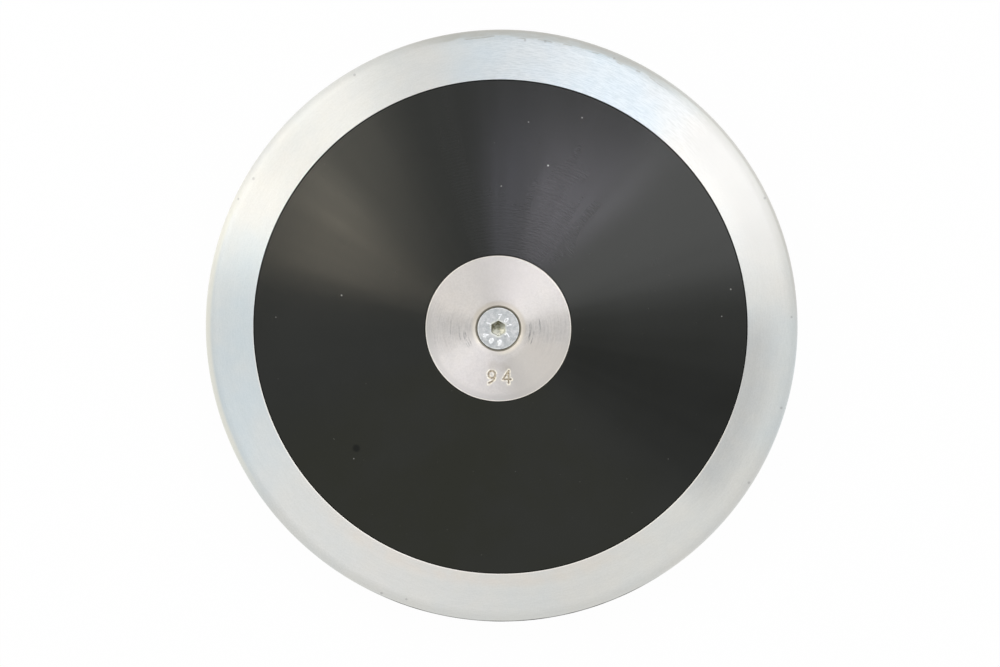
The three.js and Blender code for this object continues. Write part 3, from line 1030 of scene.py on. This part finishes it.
def makeCentrePlates():
    stamped, plain = centrePlateMesh(True), centrePlateMesh(False)
    addPair(stamped, "centre_plate", "aluminium", plain)


makeCentrePlates()
print("centre plates made")

screwShape = dict(
    shankRadius=4 * mm,
    tipFlat=0.6 * mm,
    tipChamfer=0.9 * mm,
    neckFillet=0.4 * mm,
    threadPitch=1.25 * mm,
    threadDepth=0.72 * mm,
    threadCrest=1 / 8,  # flat crest and root, and flanks between, as shares of half a pitch
    threadFlank=5 / 8,
    threadRunout=(15.6 * mm, 16.6 * mm),
    threadStep=0.14 * mm,
    headLand=0.2 * mm,
    headFillets=(0.08 * mm, 0.05 * mm),  # under and above the land
    headBorder=0.5 * mm,
    socketAcrossFlats=5 * mm,
    socketCorner=0.555,  # radius of the circle that cuts the corners, in widths across flats
    socketDepth=3 * mm,
    socketCone=0.8 * mm,
    socketEdge=0.12 * mm,
    socketRows=(40, 5, 14, 12),  # over the head, round the lip, down the walls and to the axis
    angles=384,
    step=0.4 * mm,
    lipPlace=0.7,  # middle of the rubbed lip, in widths of it
    lipWidth=0.34 * mm,
    lipDepth=0.3 * mm,
    markHeight=0.12 * mm,
    markWall=(0.5, 1.3),  # in half strokes
    boldStroke=0.3 * mm,
    # Numeral, angle, radius and size in mm, half its stroke in mm, and 1 for its top outwards.
    marks=[
        ("7", 83, 4.3, 1.5, 0.25, 1), ("0", 46, 4.1, 1.6, 0.23, 1), ("1", 16, 4.1, 1.4, 0.26, 1),
        ("1", 154, 3.95, 1.4, 0.22, 1), ("4", 208, 5.3, 1.6, 0.38, -1), ("0", 241, 5.2, 1.6, 0.38, -1),
        ("9", 275, 5.3, 1.7, 0.4, -1), ("7", 323, 4.2, 1.5, 0.24, -1),
    ],
)


# Rows of a screw, from its tip along shank and countersink to the top of the head. The thread is cut
# along a helix: how deep depends on how far the height, less a pitch per turn, is from a crest.
def threadedRows(shape, angle):
    shank, chamfer, land = shape["shankRadius"], shape["tipChamfer"], shape["headLand"]
    below, above = shape["headFillets"]
    neck = screwTop - land - (headRadius - shank)
    corners = [
        (shape["tipFlat"], screwTip, 0),
        (shank - chamfer, screwTip, 0),
        (shank, screwTip + chamfer, 0, shape["threadStep"]),
        (shank, neck, shape["neckFillet"]),
        (headRadius, screwTop - land, below),
        (headRadius, screwTop, above),
        (headRadius - shape["headBorder"], screwTop, 0),
    ]
    radius, height = roundedProfile(corners, shape["step"], closed=False)
    turn = (height / shape["threadPitch"] - angle / (2 * pi)) % 1
    offCrest = np.abs(turn - 0.5) * 2 - shape["threadCrest"]
    groove = np.clip(offCrest / shape["threadFlank"], 0, 1)
    fade = 1 - easing(height, *shape["threadRunout"])
    cut = np.where(radius > shank - chamfer, groove * fade * shape["threadDepth"], 0 * angle)
    plain = np.minimum(radius, shank)
    threaded = plain - np.clip(cut - (shank - plain), 0, None)
    return np.where(height < neck, threaded, radius), height + 0 * angle


# Radius of a hexagon with a corner towards +Y, at each angle. A circle cuts its corners short.
def hexagonRadius(shape, angle):
    flats = shape["socketAcrossFlats"]
    hexagon = flats / 2 / np.cos((angle + pi / 6) % (pi / 3) - pi / 6)
    return np.minimum(hexagon, flats * shape["socketCorner"])


# Rows from the top of the head down the socket: from a circle to the hexagon, down its walls, and over
# the drilled cone to the axis.
def socketRows(shape, angle):
    hexagon = hexagonRadius(shape, angle)
    edge, depth, cone = shape["socketEdge"], shape["socketDepth"], shape["socketCone"]
    border = headRadius - shape["headBorder"]
    headRows, lipRows, wallRows, floorRows = shape["socketRows"]
    share = np.linspace(0, 1, headRows)[1:, None]
    head = border + (hexagon + edge - border) * share
    rounding = np.linspace(0, pi / 2, lipRows)[1:, None]
    lip = hexagon + edge * (1 - np.sin(rounding))
    down = np.linspace(0, 1, wallRows)[1:, None]
    inward = np.linspace(0, 1, floorRows)[1:-1, None]
    bottom = hexagon * (1 - inward)
    drilled = np.clip(1 - bottom / (shape["socketAcrossFlats"] / 2), 0, 1) * cone
    radii = [head, lip, hexagon + 0 * down, bottom]
    heights = [
        screwTop + 0 * head,
        screwTop - edge * (1 - np.cos(rounding)) + 0 * lip,
        screwTop - edge - (depth - edge) * down + 0 * hexagon,
        screwTop - depth - drilled,
    ]
    return np.concatenate(radii), np.concatenate(heights)


# How far the marks on the head stand up, 0 to 1, from the distance to their strokes. Each has its top
# away from the axis or towards it, and a thin one is struck less deep.
def headMarks(shape, x, y):
    field = np.zeros(x.shape)
    start, end = shape["markWall"]
    for numeral, angle, radius, size, stroke, outward in shape["marks"]:
        outX, outY = cos(angle * degree), sin(angle * degree)
        up = outward * (x * outX + y * outY - radius * mm)
        right = outward * (x * outY - y * outX)
        away = strokeDistance(right, up, numeral, size * mm)
        struck = min(1, stroke * mm / shape["boldStroke"])
        field = np.maximum(field, struck * (1 - easing(away, stroke * mm * start, stroke * mm * end)))
    return field


# Screw: its threaded rows and its socket's rows on one grid, with a pole at each end.
def makeScrews():
    shape = screwShape
    angle = evenAngles(shape["angles"])
    lowerRows, upperRows = threadedRows(shape, angle), socketRows(shape, angle)
    radius, height = (np.concatenate(pair) for pair in zip(lowerRows, upperRows))
    points = roundPoints(radius, angle, height)
    onTop = (height > screwTop - hair) * 1.0
    raised = headMarks(shape, points[..., 0], points[..., 1]) * onTop
    points[..., 2] += raised * shape["markHeight"]
    socketEnd = screwTop - shape["socketDepth"] - shape["socketCone"]
    mesh = gridMesh(points, np.array([(0, 0, screwTip), (0, 0, socketEnd)]))
    outOfSocket = radius - hexagonRadius(shape, angle)
    lip = bell(outOfSocket - shape["lipPlace"] * shape["lipWidth"], shape["lipWidth"])
    lip = lip * (height > screwTop - shape["lipDepth"])
    keepValues(mesh, "raised", np.append(raised, [0, 0]))
    keepValues(mesh, "lip", np.append(lip, [0, 0]))
    addPair(mesh, "centre_screw", "screw")


makeScrews()
print("screws made")


# The hub and the ballast discs keep the frame's shape, and get a finish.
def dressInnerPieces():
    for name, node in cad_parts.items():
        if name == "threaded_hub" or name.startswith("ballast_disc"):
            node.data.materials.clear()
            node.data.materials.append(finishes["steel"])


dressInnerPieces()
print("inner pieces dressed")

studio = dict(
    floorWidth=8,
    floorColour=grey(0.9),
    floorGlow=0.97,  # of the floor's look that is plain white, so that only a faint shadow is left
    ambient=0.75,
    dimPlace=(333, 28),  # angle and tilt of a dimmer patch of the sky, in degrees
    dimReach=12,
    dimBy=0.44,
    lampReach=1.6,
    lamps=[  # name, angle and tilt in degrees, width and depth in metres, watts, colour
        ("key", 30.9, 31.4, 0.627, 0.629, 1.98, (0.96, 0.94, 1)),
        ("cool", 63.9, 25.2, 0.482, 0.053, 0.9, (0.88, 0.82, 1)),
        ("cool_side", 91, 25.7, 0.24, 0.117, 0.273, (0.8, 0.76, 1)),
        ("warm", 136.5, 31.7, 0.449, 0.177, 0.465, (1, 0.91, 0.8)),
        ("warm_side", 157, 30.5, 0.426, 0.074, 0.622, (1, 0.87, 0.725)),
        ("top", 48, 10, 0.35, 0.25, 0.72, (1, 0.98, 0.96)),
        ("cool_high", 70, 44, 0.4, 0.4, 0.42, (1, 1, 1)),
        ("warm_top", 130, 46, 0.4, 0.4, 0.8, (1, 0.98, 0.96)),
        ("warm_high", 160, 46, 0.45, 0.4, 1.1, (1, 0.97, 0.93)),
        ("key_low", 36, 82, 1.4, 0.5, 2.5, (1, 1, 1)),
        ("warm_low", 145, 75, 1.4, 0.6, 2.7, (1, 0.98, 0.94)),
    ],
)


# Floor: a plain pale sheet under the discus, seen as nearly pure white.
def makeFloor():
    half = studio["floorWidth"] / 2
    low = cadBox[0][2]
    mesh = bpy.data.meshes.new("floor")
    corners = [(-half, -half, low), (half, -half, low), (half, half, low), (-half, half, low)]
    mesh.from_pydata(corners, [], [(0, 1, 2, 3)])
    material = bpy.data.materials.new("floor")
    nodes = Nodes(material)
    pale = nodes.add("BsdfDiffuse", {}, {"Color": studio["floorColour"]})
    white = nodes.add("Emission", {}, {"Color": grey(1.0), "Strength": 1.0})
    shader = nodes.add("MixShader", {}, {0: nodes.seenRays() * studio["floorGlow"], 1: pale, 2: white})
    nodes.add("OutputMaterial", {}, {"Surface": shader})
    mesh.materials.append(material)
    floor = newObject("floor", mesh)


# Sky: white where it is seen, a little dimmer to one side, and a soft even light everywhere else.
def makeSky():
    scene.world = bpy.data.worlds.new("studio")
    nodes = Nodes(scene.world)
    way = nodes.add("TexCoord", {}, {}, "Generated")
    angle, tilt = (value * degree for value in studio["dimPlace"])
    patch = (cos(angle) * sin(tilt), sin(angle) * sin(tilt), cos(tilt))
    toPatch = nodes.add("VectorMath", {"operation": "DOT_PRODUCT"}, {0: way, 1: patch}, 1)
    gloss = nodes.add("LightPath", {}, {}, "Is Glossy Ray")
    reach = studio["dimReach"] * degree
    dim = nodes.smooth(toPatch, cos(reach), 1.0) * gloss * studio["dimBy"]
    seen = nodes.seenRays()
    strength = seen * (1 - dim) + (1 - seen) * studio["ambient"]
    sky = nodes.add("Background", {}, {"Color": grey(1.0), "Strength": strength})
    nodes.add("OutputWorld", {}, {"Surface": sky})


# Lamps: soft boxes round the camera, each turned to the middle of the discus.
def makeLamps():
    for name, angle, tilt, width, depth, watts, colour in studio["lamps"]:
        light = bpy.data.lights.new(name, "AREA")
        light.shape = "ELLIPSE"
        light.size, light.size_y = width, depth
        light.energy, light.color = watts, colour
        out = Matrix.Rotation(angle * degree, 4, "Z") @ Matrix.Rotation(tilt * degree, 4, "Y")
        place = out @ Vector((0, 0, studio["lampReach"]))
        turn = out @ Matrix.Rotation(pi / 2, 4, "Z")
        newObject(name, light).matrix_world = Matrix.Translation(place) @ turn


makeFloor()
makeSky()
makeLamps()
scene.view_settings.view_transform = "Standard"
print("studio lit")
